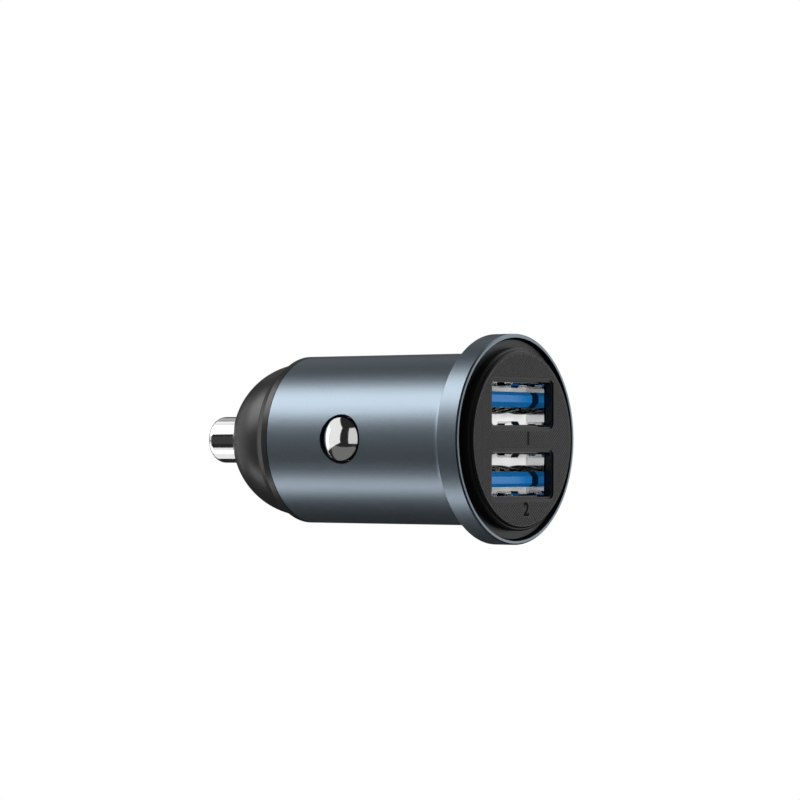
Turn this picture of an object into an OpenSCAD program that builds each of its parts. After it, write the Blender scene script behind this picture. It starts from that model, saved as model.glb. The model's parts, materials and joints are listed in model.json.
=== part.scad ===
// Car power plug with two USB-A sockets, in millimetres.
// The plug's axis is X. Its face looks along +X, its nose along -X, and +Z is up.
// The origin is on the axis, in the plane where the flange's back meets the socket's mouth.

/* [Housing] */
// Room between the socket shells' corners and the bore, which makes the barrel 20.8 across
bore_margin = 0.19; // [0.11:0.02:0.5]
// Wall of the barrel
barrel_wall = 0.8; // [0.6:0.05:1]
// Thickness of the flange along the axis
flange_t = 2.9; // [2.7:0.1:3.6]
// Floor of the flange, behind the faceplate
flange_floor = 0.9; // [0.7:0.1:1.2]
// Wall of the flange's rim, around the faceplate
rim_wall = 0.46; // [0.4:0.01:0.6]
// Radius of the cove between barrel and flange
cove_r = 2; // [1:0.1:2]
// Gap all round a side contact, in its hole in the barrel
hole_gap = 0.4; // [0.3:0.05:0.5]

/* [Faceplate] */
// How far the face stands in front of the metal rim
face_proud = 0.9; // [0.7:0.1:1.2]
// Depth of the moat around the raised disc, below the metal rim
moat_depth = 0.55; // [0.35:0.05:0.8]
// Gap between the faceplate and the metal rim
rim_gap = 0.17; // [0.11:0.02:0.3]
// Width of the moat at its floor
moat_w = 1.05; // [0.8:0.05:1.5]
// Room between the windows' ledges and the edge of the patterned field
field_margin = 0.99; // [0.8:0.01:1.2]
// Width of the low ledge around each window
ledge_w = 0.25; // [0.15:0.05:0.4]
// Corner radius of the windows
window_r = 0.5; // [0.4:0.1:1]
// Length of the skirt that grips the barrel's bore
skirt_len = 3.9; // [2:0.1:4]
// Wall of that skirt
skirt_wall = 1.15; // [0.8:0.05:1.2]

/* [USB sockets] */
// Inside width of a socket shell
port_w = 12.5; // [12.4:0.05:12.6]
// Inside height of a socket shell
port_h = 5.12; // [5.04:0.02:5.18]
// Sheet thickness of a socket shell
shell_t = 0.25; // [0.2:0.01:0.28]
// Distance between the centres of the two sockets
port_pitch = 8.44; // [8.36:0.02:8.56]
// Length of a socket shell
shell_len = 12.9; // [12.5:0.1:13.2]
// How far a shell's mouth lies behind the face
shell_setback = 1.1; // [0.9:0.05:1.3]
// How far the socket's body reaches into the shell from behind
body_plug = 2; // [1.5:0.1:2.5]
// Gap between the tongue and the shell at each side
tongue_side = 0.7; // [0.5:0.05:1]
// Thickness of the tongue
tongue_t = 1.84; // [1.7:0.02:1.9]
// How far the tongue's middle lies from the socket's, away from the board
tongue_offset = 0.6; // [0.5:0.02:0.64]
// How far the tongue's tip lies behind the shell's mouth
tongue_setback = 1.3; // [0.9:0.1:1.6]
// Width of a contact strip
contact_w = 1; // [0.8:0.1:1.1]
// Thickness of a contact strip
contact_t = 0.25; // [0.2:0.01:0.28]
// How far a contact strip bows away from the tongue
contact_bow = 0.53; // [0.3:0.02:0.6]

/* [Nose] */
// Wall of the nose cap
nose_wall = 1.3; // [1:0.1:1.6]
// How much smaller the nose's radius is than the barrel's
nose_step = 0.78; // [0.5:0.02:1]
// Length of the cap's band that lies flush with the barrel
band_len = 0.8; // [0.5:0.1:1.2]
// Distance from the barrel's end to the centre of the nose's sphere
nose_centre = 1.31; // [1.1:0.01:1.6]
// Length of the spigot that grips the barrel's bore
spigot_len = 4; // [3:0.1:4.2]
// Diameter of the centre contact
pin_d = 5.86; // [5.4:0.02:6.2]
// How far the centre contact stands out of the nose at rest
pin_out = 4.91; // [4:0.01:5.5]
// How far the centre contact can be pressed in
pin_travel = 2.5; // [1.5:0.1:3]
// Wire of the centre spring
pin_wire = 0.55; // [0.45:0.05:0.6]
// Number of turns of the centre spring
pin_turns = 6.5; // [5:0.5:8]

/* [Side contacts] */
// Diameter of a side contact's dome
side_d = 5.2; // [5:0.1:5.6]
// How far a dome stands out of the barrel at rest
side_out = 0.82; // [0.5:0.02:1]
// How far a side contact can be pressed in
side_travel = 0.8; // [0.5:0.05:0.9]
// Height of the rounded cap of the dome
side_cap = 1.02; // [0.8:0.02:1.4]
// Sheet thickness of a side contact
side_sheet = 0.45; // [0.35:0.05:0.5]
// Wire of a side spring
side_wire = 0.4; // [0.3:0.05:0.45]
// Number of turns of a side spring
side_turns = 5.5; // [4:0.5:6]

/* [Inside] */
// Thickness of the circuit board
board_t = 1.6; // [1.2:0.1:1.6]
// How far the board's edges reach into the frame's grooves
board_grip = 0.2; // [0.1:0.05:0.4]
// Gap between parts on the board's lower face, and at the ends of their row
lower_gap = 0.3; // [0.2:0.1:1]
// Gap between parts on the board's upper face, and at the ends of their row
upper_gap = 0.5; // [0.3:0.1:1]
// Thickness of the frame's rear wall
frame_wall = 1; // [0.8:0.1:1.2]
// Thickness of the positive terminal's sheet
terminal_t = 0.4; // [0.3:0.05:0.5]
// Thickness of a ground strap
strap_t = 0.3; // [0.2:0.05:0.4]

/* [Hidden] */

// Clearances: parts pressed together, parts that slide, and parts that only pass each other
press_gap = 0.05;
slide_gap = 0.06;
free_gap = 0.2;
// Overshoot of a cutting body past the face that it cuts
cut = 1;
// Small edge breaks on metal and plastic edges
edge = 0.1;
rim_edge = 0.17;
// Lead-in slope at the end of a part that is pushed into a bore
lead_in = 0.4;
lead_step = 0.2;

// How far from the axis the outermost corner of the upper socket's rounded outline lies
function corner_reach(w, h, r) = norm([w / 2 - r, port_z + h / 2 - r]) + r;

// Sockets
face_x = flange_t + face_proud;
port_z = port_pitch / 2;
shell_corner = 0.4;
shell_w = port_w + 2 * shell_t;
shell_h = port_h + 2 * shell_t;
shell_front = face_x - shell_setback;
shell_rear = shell_front - shell_len;
port_rear = shell_rear + body_plug;
body_flange = 0.9;
body_rear = shell_rear - body_flange;
tongue_w = port_w - 2 * tongue_side;
tongue_front = shell_front - tongue_setback;
tongue_under = port_z + tongue_offset - tongue_t / 2;
tongue_bevel_out = 0.42;
tongue_bevel_in = 0.58;
tongue_end_gap = 0.1;
finger_y = 2.9;
finger_w = 1.6;
finger_root = 1.8;
finger_len = 2.55;
finger_ramp = 0.38;
finger_rise = 0.53;
finger_slot = 0.3;
leg_w = 1.2;
leg_places = [shell_rear + 2.5, shell_rear + 6.6];
contact_inner = 1;
contact_outer = tongue_w / 2 - 2.05;
contact_y = [-contact_outer, -contact_inner, contact_inner, contact_outer];
contact_setback = 0.6;
contact_belly = 3.84;
contact_half = 3.9;
contact_steps = 24;
contact_foot = 1;

// Faceplate, from its windows outwards
window_gap = 0.14;
window_w = port_w + 2 * window_gap;
window_h = port_h + 2 * window_gap;
edge_slope = 0.19;
edge_ledge = 0.14;
edge_rise = 0.15;
disc_r = corner_reach(window_w + 2 * ledge_w, window_h + 2 * ledge_w, window_r + ledge_w)
    + field_margin;
foot_r = disc_r + 2 * edge_slope + edge_ledge;
plate_r = foot_r + moat_w;
moat_x = flange_t - moat_depth;
core_depth = 1.4;
guide_wall = 0.75;
guide_len = 2.9;

// Housing, round the shells and the faceplate
bore_r = corner_reach(shell_w, shell_h, shell_corner) + bore_margin;
barrel_r = bore_r + barrel_wall;
skirt_r = bore_r - press_gap;
rim_r = plate_r + rim_gap;
flange_r = rim_r + rim_wall;
seat_land = 0.15;
cove = min(cove_r, flange_r - edge - barrel_r - seat_land);
cove_steps = 16;
hole_r = side_d / 2 + hole_gap;

// Parts on the board. Behind the contacts' feet, the longer of the two rows sets its length.
inductor_size = [6.6, 7, 3];
inductor_corner = 0.6;
inductor_pad = [0.2, 3, 0.5];
chip_body = [3.9, 4.9, 1.5];
chip_span = 6;
chip_pins = 4;
controller_body = [1.25, 2, 0.95];
controller_span = 2.1;
controller_pins = 3;
pin_strip = [0.5, 0.4, 0.2];
pin_standoff = 0.1;
can_d = 5;
can_h = 5.2;
can_base = [can_d + 0.3, can_d + 0.3, 0.8];
can_bevel = 1.2;
ceramic_size = [1.25, 2, 1.25];
ceramic_y = 3.9;
ceramic_cap = 0.35;
terminal_on_board = 2;
heel_x = body_rear - press_gap - contact_t;
foot_end = heel_x - contact_foot;
chip_x = foot_end - lower_gap - chip_span / 2;
can_x = chip_x - chip_span / 2 - lower_gap - can_base[0] / 2;
controller_x = foot_end - upper_gap - controller_span / 2;
inductor_x = controller_x - controller_span / 2 - upper_gap - inductor_size[0] / 2;
board_rear = min(can_x - can_base[0] / 2 - lower_gap,
    inductor_x - inductor_size[0] / 2 - upper_gap - terminal_on_board);
rear_gap = 0.4;
frame_rear = board_rear - rear_gap - frame_wall;
nose_room = 1.15;
barrel_len = nose_room - frame_rear;

// Nose and centre contact
nose_r = barrel_r - nose_step;
nose_x = -barrel_len - nose_centre;
nose_tip = nose_x - nose_r;
shoulder_x = -barrel_len - band_len;
shoulder_slope = 0.615;
shoulder_drop = 1.1;
spigot_r = bore_r - press_gap;
spigot_wall = 0.9;
pin_r = pin_d / 2;
pin_end = nose_tip - pin_out;
pin_fillet = 1.04;
pin_crown = 0.08;
pin_flange_r = pin_r + 0.94;
pin_flange_t = 0.8;
pin_stop = nose_tip + 2.2;
pin_back = pin_stop + press_gap + pin_flange_t;
pin_spigot_r = 2;
pin_spigot_end = frame_rear - terminal_t - press_gap - pin_travel;
guide_r = pin_flange_r + slide_gap;
guide_tube_wall = 1.15;

// Frame, round the board and its parts
board_rise = board_t / 2;
passage_half = ceramic_y + ceramic_size[1] / 2 + 0.3;
passage_rise = board_rise + can_h + free_gap;
board_half = passage_half + board_grip;
frame_front = body_rear - free_gap;
frame_r = bore_r - press_gap;
frame_shoulder = -barrel_len + spigot_len + 0.4;
frame_tail_r = spigot_r - spigot_wall - slide_gap;
groove_half = board_half + slide_gap;
peg_r = 0.6;
peg_len = 0.8;
peg_y = (groove_half + frame_r) / 2;
peg_x = frame_shoulder + 2;
terminal_half = 1.25;
terminal_r = 3.6;

// Board
board_front = flange_floor - 0.5;
board_shoulder = frame_front + press_gap;
board_front_half = skirt_r - skirt_wall - 0.3;

// Side contacts, whose straps lie on the board behind the ceramic capacitors
strap_half = 1;
strap_clear = 0.325;
side_x = ceramic_size[0] / 2 + strap_clear + strap_half - controller_x;
side_r = side_d / 2;
side_top = barrel_r + side_out;
side_sphere = (side_r * side_r + side_cap * side_cap) / (2 * side_cap);
side_lip = frame_r - 0.95;
side_flange_r = side_r + 0.6;
side_flange_t = 0.5;
side_flange_top = side_lip - press_gap;
pocket_r = side_flange_r + slide_gap;
pocket_floor = passage_half + 0.8;
side_foot = pocket_floor + strap_t + side_travel + press_gap;
strap_r = 2.6;
coil_segments = 16;
coil_sides = 6;

// A solid turned about the plug's axis: the profile's x is the radius, its y the place along X.
module turned() rotate([0, 90, 0]) rotate_extrude($fn = 96) children();

// The part of a turned profile between two radii and two places.
module band(r1, r2, x1, x2) translate([r1, x1]) square([r2 - r1, x2 - x1]);

// Puts a shape that stands on Z at a side contact, pointing out of the barrel.
module radial(side) translate([-side_x, 0, 0]) rotate([-90 * side, 0, 0]) children();

// A rectangle with round corners, its middle at the origin.
module rounded(w, h, r) {
    square([w - 2 * r, h], center = true);
    square([w, h - 2 * r], center = true);
    for (y = [-1, 1], z = [-1, 1])
        translate([y * (w / 2 - r), z * (h / 2 - r)]) circle(r, $fn = 48);
}

// A bar along X with that rectangle as its section.
module bar(x1, x2, w, h, r)
    translate([x1, 0, 0]) rotate([90, 0, 90]) linear_extrude(x2 - x1) rounded(w, h, r);

// A plain block between two corners.
module block(low, high) translate(low) cube(high - low);

// An outline drawn in X and Z, made a solid of width w with its middle at y.
module slab(y, w) translate([0, y + w / 2, 0]) rotate([90, 0, 0]) linear_extrude(w) children();

// Puts a piece of the upper socket in the upper or the lower one, which is its mirror image.
module port_side(upper) if (upper) children(); else mirror([0, 0, 1]) children();

// How far along its length a coil's wire has come after t turns, with one closed turn at each end.
function coil_rise(t, turns, wire, length) =
    let (closed = 1.05 * wire, open = length - wire - 2 * closed)
    t < 1 ? closed * t :
    t > turns - 1 ? length - wire - closed * (turns - t) :
    closed + open * (t - 1) / (turns - 2);

// A compression spring on Z, from 0 to its length.
module coil(r, wire, length, turns) {
    rings = round(turns * coil_segments);
    points = [for (i = [0:rings], k = [0:coil_sides - 1])
        let (t = i / coil_segments, a = 360 * t, b = 360 * k / coil_sides,
            out = r + wire / 2 * cos(b))
        [out * cos(a), out * sin(a),
            wire / 2 + coil_rise(t, turns, wire, length) + wire / 2 * sin(b)]];
    skin = [for (i = [0:rings - 1], k = [0:coil_sides - 1])
        let (n = (k + 1) % coil_sides, low = i * coil_sides, high = low + coil_sides)
        [low + k, low + n, high + n, high + k]];
    first = [[for (k = [coil_sides - 1:-1:0]) k]];
    last = [[for (k = [0:coil_sides - 1]) rings * coil_sides + k]];
    polyhedron(points, concat(skin, first, last));
}

// One turned aluminium piece: the barrel, the cove and the flange with its rim.
module housing_profile() {
    cove_points = [for (i = [0:cove_steps])
        let (a = 90 * i / cove_steps)
        [barrel_r + cove * (1 - cos(a)), -cove * (1 - sin(a))]];
    polygon(concat(
        [[bore_r, -barrel_len], [barrel_r - edge, -barrel_len], [barrel_r, edge - barrel_len]],
        cove_points,
        [[flange_r - edge, 0], [flange_r, edge], [flange_r, flange_t - rim_edge],
            [flange_r - rim_edge, flange_t], [rim_r, flange_t], [rim_r, flange_floor],
            [bore_r, flange_floor]]));
}

module housing() color("#6b7885") difference() {
    turned() housing_profile();
    for (side = [-1, 1]) radial(side) translate([0, 0, bore_r - cut])
        cylinder(r = hole_r, h = barrel_wall + 2 * cut, $fn = 96);
}

// The turned part of the faceplate: moat, and a raised disc that steps down to it over two slopes,
// with the skirt that grips the bore.
module faceplate_profile() {
    ledge_x = face_x - edge_slope - edge_rise;
    polygon([[0, flange_floor], [plate_r, flange_floor], [plate_r, moat_x - edge],
        [plate_r - edge, moat_x], [foot_r, moat_x], [foot_r, ledge_x - edge_slope],
        [foot_r - edge_slope, ledge_x], [disc_r + edge_slope, ledge_x],
        [disc_r + edge_slope, face_x - edge_slope], [disc_r, face_x], [0, face_x]]);
    polygon([[skirt_r - skirt_wall, flange_floor], [skirt_r - skirt_wall, flange_floor - skirt_len],
        [skirt_r - lead_step, flange_floor - skirt_len], [skirt_r, flange_floor - skirt_len + lead_in],
        [skirt_r, flange_floor]]);
}

// The walls that guide both shells and the board's front edge, inside the skirt.
module port_guide(x1, x2) {
    w = shell_w + 2 * guide_wall;
    h = port_pitch + shell_h + 2 * guide_wall;
    bar(x1, x2, w, h, guide_wall);
}

module faceplate() color("#343536") difference() {
    union() {
        turned() faceplate_profile();
        intersection() {
            turned() band(0, skirt_r, flange_floor - guide_len, flange_floor + edge);
            port_guide(flange_floor - guide_len, flange_floor + edge);
        }
    }
    difference() {
        turned() band(0, skirt_r - skirt_wall, flange_floor - cut, flange_floor + core_depth);
        port_guide(flange_floor - 2 * cut, flange_floor + core_depth + cut);
    }
    for (z = [-port_z, port_z]) translate([0, 0, z]) {
        bar(shell_front - cut, face_x + cut, window_w, window_h, window_r);
        bar(face_x - edge_slope, face_x + cut, window_w + 2 * ledge_w, window_h + 2 * ledge_w,
            window_r + ledge_w);
        bar(flange_floor - skirt_len - cut, shell_front + press_gap, shell_w + 2 * press_gap,
            shell_h + 2 * press_gap, shell_corner + press_gap);
    }
    block([flange_floor - skirt_len - cut, -board_front_half - free_gap, -board_rise - slide_gap],
        [board_front, board_front_half + free_gap, board_rise + slide_gap]);
}

// The nose cap's turned outline: the spigot, the flush band and the sloping shoulder.
module nose_outline() {
    shoulder_r = barrel_r - shoulder_drop;
    shoulder_end = shoulder_x - shoulder_drop / shoulder_slope;
    polygon([[0, shoulder_end], [shoulder_r, shoulder_end], [barrel_r, shoulder_x],
        [barrel_r, -barrel_len], [spigot_r, -barrel_len],
        [spigot_r, spigot_len - lead_in - barrel_len],
        [spigot_r - lead_step, spigot_len - barrel_len], [0, spigot_len - barrel_len]]);
}

// The cap: a half sphere on that outline, hollow round a tube that guides the centre contact.
module nose_cap() color("#3b3c3d") difference() {
    union() {
        turned() nose_outline();
        turned() intersection() {
            translate([0, nose_x]) circle(nose_r, $fn = 180);
            band(0, barrel_r, nose_tip - cut, shoulder_x);
        }
    }
    difference() {
        union() {
            turned() intersection() {
                translate([0, nose_x]) circle(nose_r - nose_wall, $fn = 180);
                band(0, barrel_r, nose_tip, -barrel_len);
            }
            turned() band(0, spigot_r - spigot_wall, -barrel_len - edge, spigot_len - barrel_len + cut);
        }
        turned() band(0, guide_r + guide_tube_wall, nose_tip - cut, frame_rear - terminal_t - edge);
    }
    turned() band(0, guide_r, pin_stop, spigot_len - barrel_len + cut);
    turned() band(0, pin_r + slide_gap, nose_tip - cut, pin_stop + cut);
}

// The sprung pin at the tip: rounded end, shank, stop flange, and a spigot inside the spring
// that meets the terminal when the pin is fully pressed in.
module centre_contact() color("#e4e6e8") {
    steps = 10;
    end_round = [for (i = [0:steps])
        let (a = 90 * i / steps)
        [pin_r - pin_fillet * (1 - sin(a)), pin_end + pin_crown + pin_fillet * (1 - cos(a))]];
    turned() polygon(concat([[0, pin_end]], end_round,
        [[pin_r, pin_stop + press_gap], [pin_flange_r, pin_stop + press_gap],
            [pin_flange_r, pin_back], [pin_spigot_r, pin_back],
            [pin_spigot_r, pin_spigot_end - lead_step],
            [pin_spigot_r - lead_step, pin_spigot_end], [0, pin_spigot_end]]));
}

module centre_spring() color("#c9ccd0") {
    seat = frame_rear - terminal_t;
    r = pin_spigot_r + edge + pin_wire;
    translate([pin_back + press_gap, 0, 0]) rotate([0, 90, 0])
        coil(r, pin_wire, seat - pin_back - 2 * press_gap, pin_turns);
}

// The spring's seat, with a strip that passes the frame's rear wall and lies on the board.
module positive_terminal() color("#d8dadd") {
    turned() band(0, terminal_r, frame_rear - terminal_t, frame_rear);
    block([frame_rear - terminal_t, -terminal_half, board_rise],
        [board_rear + terminal_on_board, terminal_half, board_rise + terminal_t]);
}

// A drawn cup: the round dome that shows, the flange that keeps it in, and a skirt that meets
// the ground strap when the dome is fully pressed in.
module side_contact(side) color("#e4e6e8") radial(side) rotate_extrude($fn = 96) {
    inner_r = side_r - side_sheet;
    cap_base = side_top - side_cap;
    difference() {
        union() {
            band(0, side_r, side_foot, cap_base);
            band(0, side_flange_r, side_flange_top - side_flange_t, side_flange_top);
            intersection() {
                translate([0, side_top - side_sphere]) circle(side_sphere, $fn = 180);
                band(0, side_r, cap_base - edge, side_top + cut);
            }
        }
        intersection() {
            translate([0, side_top - side_sphere]) circle(side_sphere - side_sheet, $fn = 180);
            band(-cut, inner_r, cap_base - side_sheet, side_top);
        }
        band(-cut, inner_r, side_foot - cut, cap_base - side_sheet + edge);
    }
}

module side_spring(side) color("#c9ccd0") {
    seat = pocket_floor + strap_t;
    r = side_r - side_sheet - slide_gap - edge - side_wire / 2;
    top = side_top - side_sphere + sqrt(pow(side_sphere - side_sheet, 2) - pow(r + side_wire, 2));
    radial(side) translate([0, 0, seat + press_gap])
        coil(r, side_wire, top - seat - 2 * press_gap, side_turns);
}

// A disc on the pocket's floor, with a tab that passes the frame's wall and lies on the board.
module ground_strap(side) color("#d8dadd") {
    radial(side) translate([0, 0, pocket_floor]) cylinder(r = strap_r, h = strap_t, $fn = 64);
    tab = [side * (inductor_size[1] / 2 + free_gap), side * (pocket_floor + strap_t)];
    block([-side_x - strap_half, min(tab), board_rise],
        [-side_x + strap_half, max(tab), board_rise + strap_t]);
}

// The frame that holds the board by its edges and the side contacts in two round pockets.
module frame_body() difference() {
    turned() {
        band(0, frame_r, frame_shoulder, frame_front);
        band(0, frame_tail_r, frame_rear, frame_shoulder + edge);
    }
    inner_rear = frame_rear + frame_wall;
    block([inner_rear, -passage_half, -passage_rise], [frame_front + cut, passage_half, passage_rise]);
    block([inner_rear, -groove_half, -board_rise - slide_gap],
        [frame_front + cut, groove_half, board_rise + slide_gap]);
    for (side = [-1, 1]) radial(side) {
        translate([0, 0, pocket_floor])
            cylinder(r = pocket_r, h = side_lip - pocket_floor, $fn = 64);
        translate([0, 0, side_lip - edge])
            cylinder(r = side_r + slide_gap, h = frame_r, $fn = 64);
    }
    block([-side_x - strap_half - slide_gap, -pocket_floor - edge, board_rise - slide_gap],
        [-side_x + strap_half + slide_gap, pocket_floor + edge, board_rise + strap_t + slide_gap]);
    block([frame_rear - cut, -terminal_half - slide_gap, board_rise - slide_gap],
        [inner_rear + cut, terminal_half + slide_gap, board_rise + terminal_t + slide_gap]);
}

// The frame's upper or lower half. Two pegs on the lower half locate the upper one.
module frame_half(upper) color("#2c2d2e") {
    low = upper ? 0 : -barrel_r;
    difference() {
        intersection() {
            frame_body();
            block([frame_rear - cut, -barrel_r, low], [frame_front + cut, barrel_r, low + barrel_r]);
        }
        if (upper) for (y = [-peg_y, peg_y]) translate([peg_x, y, -cut])
            cylinder(r = peg_r + press_gap, h = peg_len + press_gap + cut, $fn = 32);
    }
    if (!upper) for (y = [-peg_y, peg_y]) translate([peg_x, y, -cut])
        cylinder(r = peg_r, h = peg_len + cut, $fn = 32);
}

// The board: wide between the sockets, narrow in the frame, with slots for the shells' legs.
module main_board() color("#1f6b45") difference() {
    union() {
        block([board_shoulder, -board_front_half, -board_rise],
            [board_front - press_gap, board_front_half, board_rise]);
        block([board_rear, -board_half, -board_rise],
            [board_shoulder + edge, board_half, board_rise]);
    }
    for (side = [-1, 1], place = leg_places)
        translate([place, side * (shell_w - shell_t) / 2, 0])
            cube([leg_w + 2 * press_gap, shell_t + 2 * press_gap, board_t + cut], center = true);
}

// The outline, in X and Z, of a spring finger that is bent in from a shell's wall.
module finger_outline(wall_z) {
    root = shell_front - finger_root;
    tip = root - finger_len;
    polygon([[root + shell_t, wall_z], [root, wall_z], [root - finger_ramp, wall_z - finger_rise],
        [tip + finger_ramp, wall_z - finger_rise], [tip, wall_z],
        [tip, wall_z + shell_t], [tip + finger_ramp, wall_z - finger_rise + shell_t],
        [root - finger_ramp, wall_z - finger_rise + shell_t], [root, wall_z + shell_t],
        [root + shell_t, wall_z + shell_t]]);
}

// A socket's sheet-metal shell, with two spring fingers in each broad wall and its board legs.
module port_shell(upper) color("#d9dbde") port_side(upper) {
    root = shell_front - finger_root;
    difference() {
        translate([0, 0, port_z]) difference() {
            bar(shell_rear, shell_front, shell_w, shell_h, shell_corner);
            bar(shell_rear - cut, shell_front + cut, port_w, port_h, shell_corner - shell_t);
        }
        for (y = [-finger_y, finger_y])
            block([root - finger_len - 2 * finger_slot, y - finger_w / 2 - finger_slot,
                port_z - shell_h],
                [root, y + finger_w / 2 + finger_slot, port_z + shell_h]);
    }
    for (y = [-finger_y, finger_y]) {
        slab(y, finger_w) finger_outline(port_z + port_h / 2);
        translate([0, 0, 2 * port_z]) mirror([0, 0, 1])
            slab(y, finger_w) finger_outline(port_z + port_h / 2);
    }
    for (side = [-1, 1], place = leg_places)
        translate([place, side * (shell_w - shell_t) / 2, 0])
            block([-leg_w / 2, -shell_t / 2, edge], [leg_w / 2, shell_t / 2, port_z - port_h / 2 + 1]);
}

// The moulding behind a socket: it closes the shell, stands on the board and holds the tongue.
module port_body(upper) color("#e9e9e6") port_side(upper) difference() {
    union() {
        translate([0, 0, port_z])
            bar(shell_rear - edge, port_rear, port_w - 2 * press_gap, port_h - 2 * press_gap, edge);
        block([body_rear, -shell_w / 2 + shell_t, board_rise],
            [shell_rear - press_gap, shell_w / 2 - shell_t, port_z + port_h / 2]);
    }
    block([shell_rear - edge, -tongue_w / 2 - press_gap, tongue_under - press_gap],
        [port_rear + cut, tongue_w / 2 + press_gap, tongue_under + tongue_t + press_gap]);
    for (y = contact_y)
        block([body_rear - cut, y - contact_w / 2 - press_gap, tongue_under - contact_t - press_gap],
            [port_rear + cut, y + contact_w / 2 + press_gap, tongue_under + press_gap]);
}

// The coloured tongue, with sloping edges at its tip.
module port_tongue(upper) color("#3f7fc4") port_side(upper) {
    rear = shell_rear - edge + tongue_end_gap;
    slab(0, tongue_w) polygon([[rear, tongue_under], [tongue_front - tongue_bevel_in, tongue_under],
        [tongue_front, tongue_under + tongue_bevel_in],
        [tongue_front, tongue_under + tongue_t - tongue_bevel_out],
        [tongue_front - tongue_bevel_out, tongue_under + tongue_t],
        [rear, tongue_under + tongue_t]]);
}

// How far a contact strip lies from the tongue at a place along X.
function bow(x) =
    let (belly = tongue_front - contact_belly, a = 90 * (x - belly) / contact_half)
    abs(a) < 90 ? contact_bow * pow(cos(a), 2) : 0;

// A contact strip: bowed under the tongue, straight through the body, down to its solder foot.
module port_contact(upper, number) color("#caa64a") port_side(upper) {
    tip = tongue_front - contact_setback;
    back = tongue_front - contact_belly - contact_half;
    places = [for (i = [0:contact_steps]) tip + (back - tip) * i / contact_steps];
    upper_edge = [for (x = places) [x, tongue_under - bow(x)]];
    lower_edge = [for (i = [contact_steps:-1:0]) upper_edge[i] - [0, contact_t]];
    slab(contact_y[number - 1], contact_w) {
        polygon(concat(upper_edge, [[heel_x, tongue_under], [heel_x, tongue_under - contact_t]],
            lower_edge));
        translate([heel_x, board_rise]) square([contact_t, tongue_under - board_rise]);
        translate([foot_end, board_rise]) square([contact_foot + contact_t, contact_t]);
    }
}

// A chip on the board's upper face: moulded body and rows of bent pins along both long sides.
module chip(body, span, pins) {
    pitch = body[1] / (pins + 0.1);
    translate([-body[0] / 2, -body[1] / 2, pin_standoff]) cube(body - [0, 0, pin_standoff]);
    for (side = [-1, 1], i = [0:pins - 1]) mirror([side < 0 ? 1 : 0, 0, 0])
        translate([span / 2, (i - (pins - 1) / 2) * pitch, 0]) slab(0, pin_strip[1])
            polygon([[0, 0], [0, pin_strip[2]], [pin_strip[2] - pin_strip[0], pin_strip[2]],
                [pin_strip[2] - pin_strip[0], body[2] / 2],
                [(body[0] - span) / 2 - edge, body[2] / 2],
                [(body[0] - span) / 2 - edge, body[2] / 2 - pin_strip[2]],
                [-pin_strip[0], body[2] / 2 - pin_strip[2]], [-pin_strip[0], 0]]);
}

module power_inductor() color("#4b4d50") translate([inductor_x, 0, board_rise]) {
    rotate([0, 0, 90]) linear_extrude(inductor_size[2])
        rounded(inductor_size[1], inductor_size[0], inductor_corner);
    for (side = [-1, 1])
        translate([(side * inductor_size[0] - inductor_pad[0]) / 2, -inductor_pad[1] / 2, 0])
            cube(inductor_pad);
}

module converter_chip() color("#26282a") mirror([0, 0, 1])
    translate([chip_x, 0, board_rise]) chip(chip_body, chip_span, chip_pins);

module port_controller_chip() color("#26282a")
    translate([controller_x, 0, board_rise]) chip(controller_body, controller_span, controller_pins);

// A can capacitor on the board's lower face: square base with two cut corners, and the can.
module input_capacitor() color("#b9bdc2") mirror([0, 0, 1]) translate([can_x, 0, board_rise]) {
    half = can_base[0] / 2;
    linear_extrude(can_base[2]) polygon([[-half, -half], [half, -half], [half, half - can_bevel],
        [half - can_bevel, half], [-half + can_bevel, half], [-half, half - can_bevel]]);
    translate([0, 0, can_base[2] - edge])
        cylinder(d = can_d, h = can_h - can_base[2] + edge, $fn = 64);
}

// Two ceramic capacitors beside the controller chip, each with its metal ends.
module output_capacitors() color("#c8a878")
    for (y = [-ceramic_y, ceramic_y]) translate([controller_x, y, board_rise]) {
        translate([-ceramic_size[0] / 2, -ceramic_size[1] / 2 + edge, 0])
            cube(ceramic_size - [0, 2 * edge, edge]);
        for (side = [-1, 1])
            translate([-ceramic_size[0] / 2, side * (ceramic_size[1] - ceramic_cap) / 2
                - ceramic_cap / 2, 0])
                cube([ceramic_size[0], ceramic_cap, ceramic_size[2]]);
    }

housing();
faceplate();
nose_cap();
centre_contact();
centre_spring();
positive_terminal();
side_contact(-1);  // left_side_contact
side_contact(1);  // right_side_contact
side_spring(-1);  // left_side_spring
side_spring(1);  // right_side_spring
ground_strap(-1);  // left_ground_strap
ground_strap(1);  // right_ground_strap
frame_half(true);  // upper_frame_half
frame_half(false);  // lower_frame_half
main_board();
port_shell(true);  // upper_port_shell
port_shell(false);  // lower_port_shell
port_body(true);  // upper_port_body
port_body(false);  // lower_port_body
port_tongue(true);  // upper_port_tongue
port_tongue(false);  // lower_port_tongue
for (i = [1:4]) port_contact(true, i);
for (i = [1:4]) port_contact(false, i);
power_inductor();
converter_chip();
port_controller_chip();
input_capacitor();
output_capacitors();
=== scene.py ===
# %% [markdown]
# # A car power plug with two USB sockets
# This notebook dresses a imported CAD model. The shapes of the metal, plastic and socket pieces
# come from CAD and are right already. What is left for Blender is their finish, the fine
# diamond pattern of the face, two plain numerals, and smooth wire for the three springs.

# %% Load the fixed frame
import json
import math

import bpy
from mathutils import Matrix, Vector


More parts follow.
